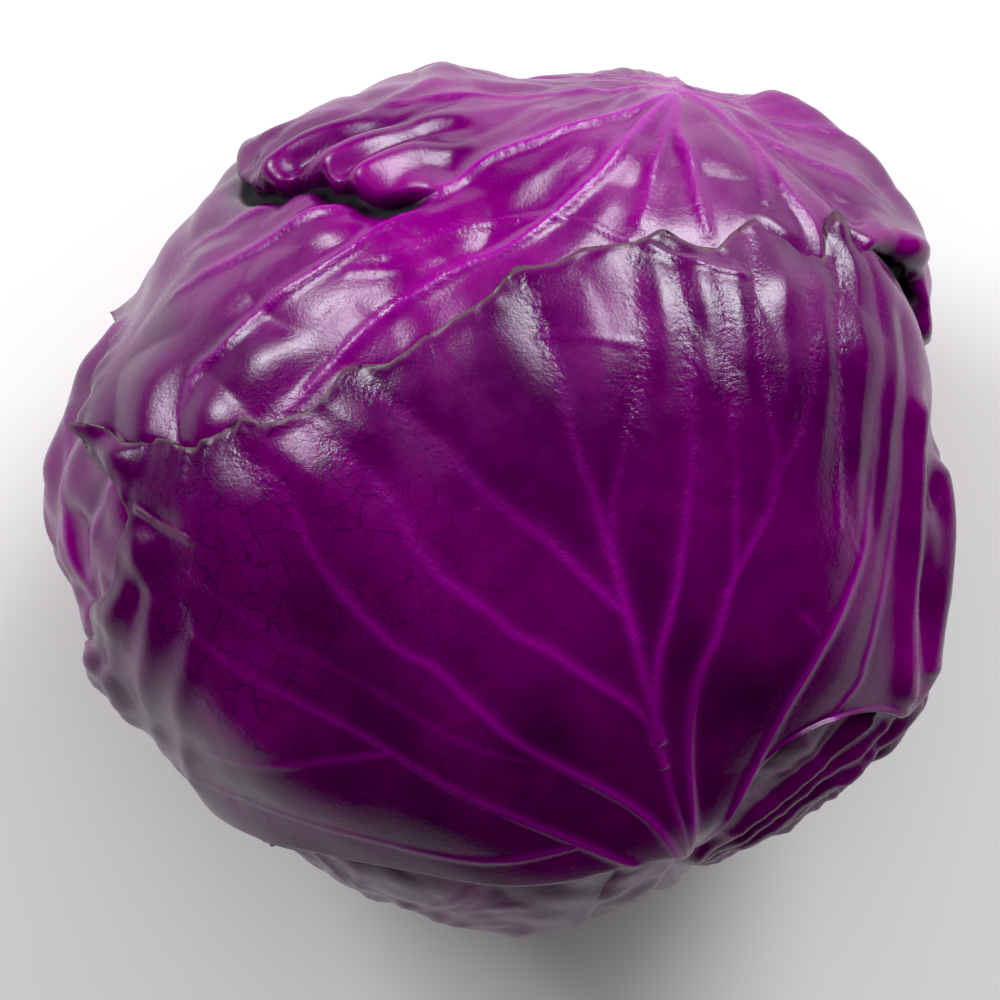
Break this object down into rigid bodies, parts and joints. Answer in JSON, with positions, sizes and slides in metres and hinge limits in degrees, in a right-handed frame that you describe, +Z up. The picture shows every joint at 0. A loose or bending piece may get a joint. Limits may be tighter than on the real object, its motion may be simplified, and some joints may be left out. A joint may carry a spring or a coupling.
{
  "type": "red cabbage",
  "caption": "Whole red cabbage head with loose outer leaves, standing on its cut stem.",
  "frame": {"origin": "centre of the stem's flat cut face, which is the lowest point", "axes": "+Z up from the cut stem to the crown; +X and +Y across the head, with the big front wrapper leaf's base towards -Y and the back wrapper leaf's base towards +Y"},
  "size_m": [0.1459, 0.1391, 0.1229],
  "materials": {
    "outer_leaf": "satin",
    "inner_leaf": "satin",
    "stem_flesh": "matte"
  },
  "bodies": {
    "root": {"cut_stem": "stem_flesh", "heart": "inner_leaf", "right_back_leaf": "outer_leaf", "right_leaf": "outer_leaf", "left_back_leaf": "outer_leaf", "front_leaf": "outer_leaf", "left_leaf": "outer_leaf", "right_front_leaf": "outer_leaf", "back_wrapper_leaf": "outer_leaf", "front_wrapper_leaf": "outer_leaf"}
  },
  "joints": []
}
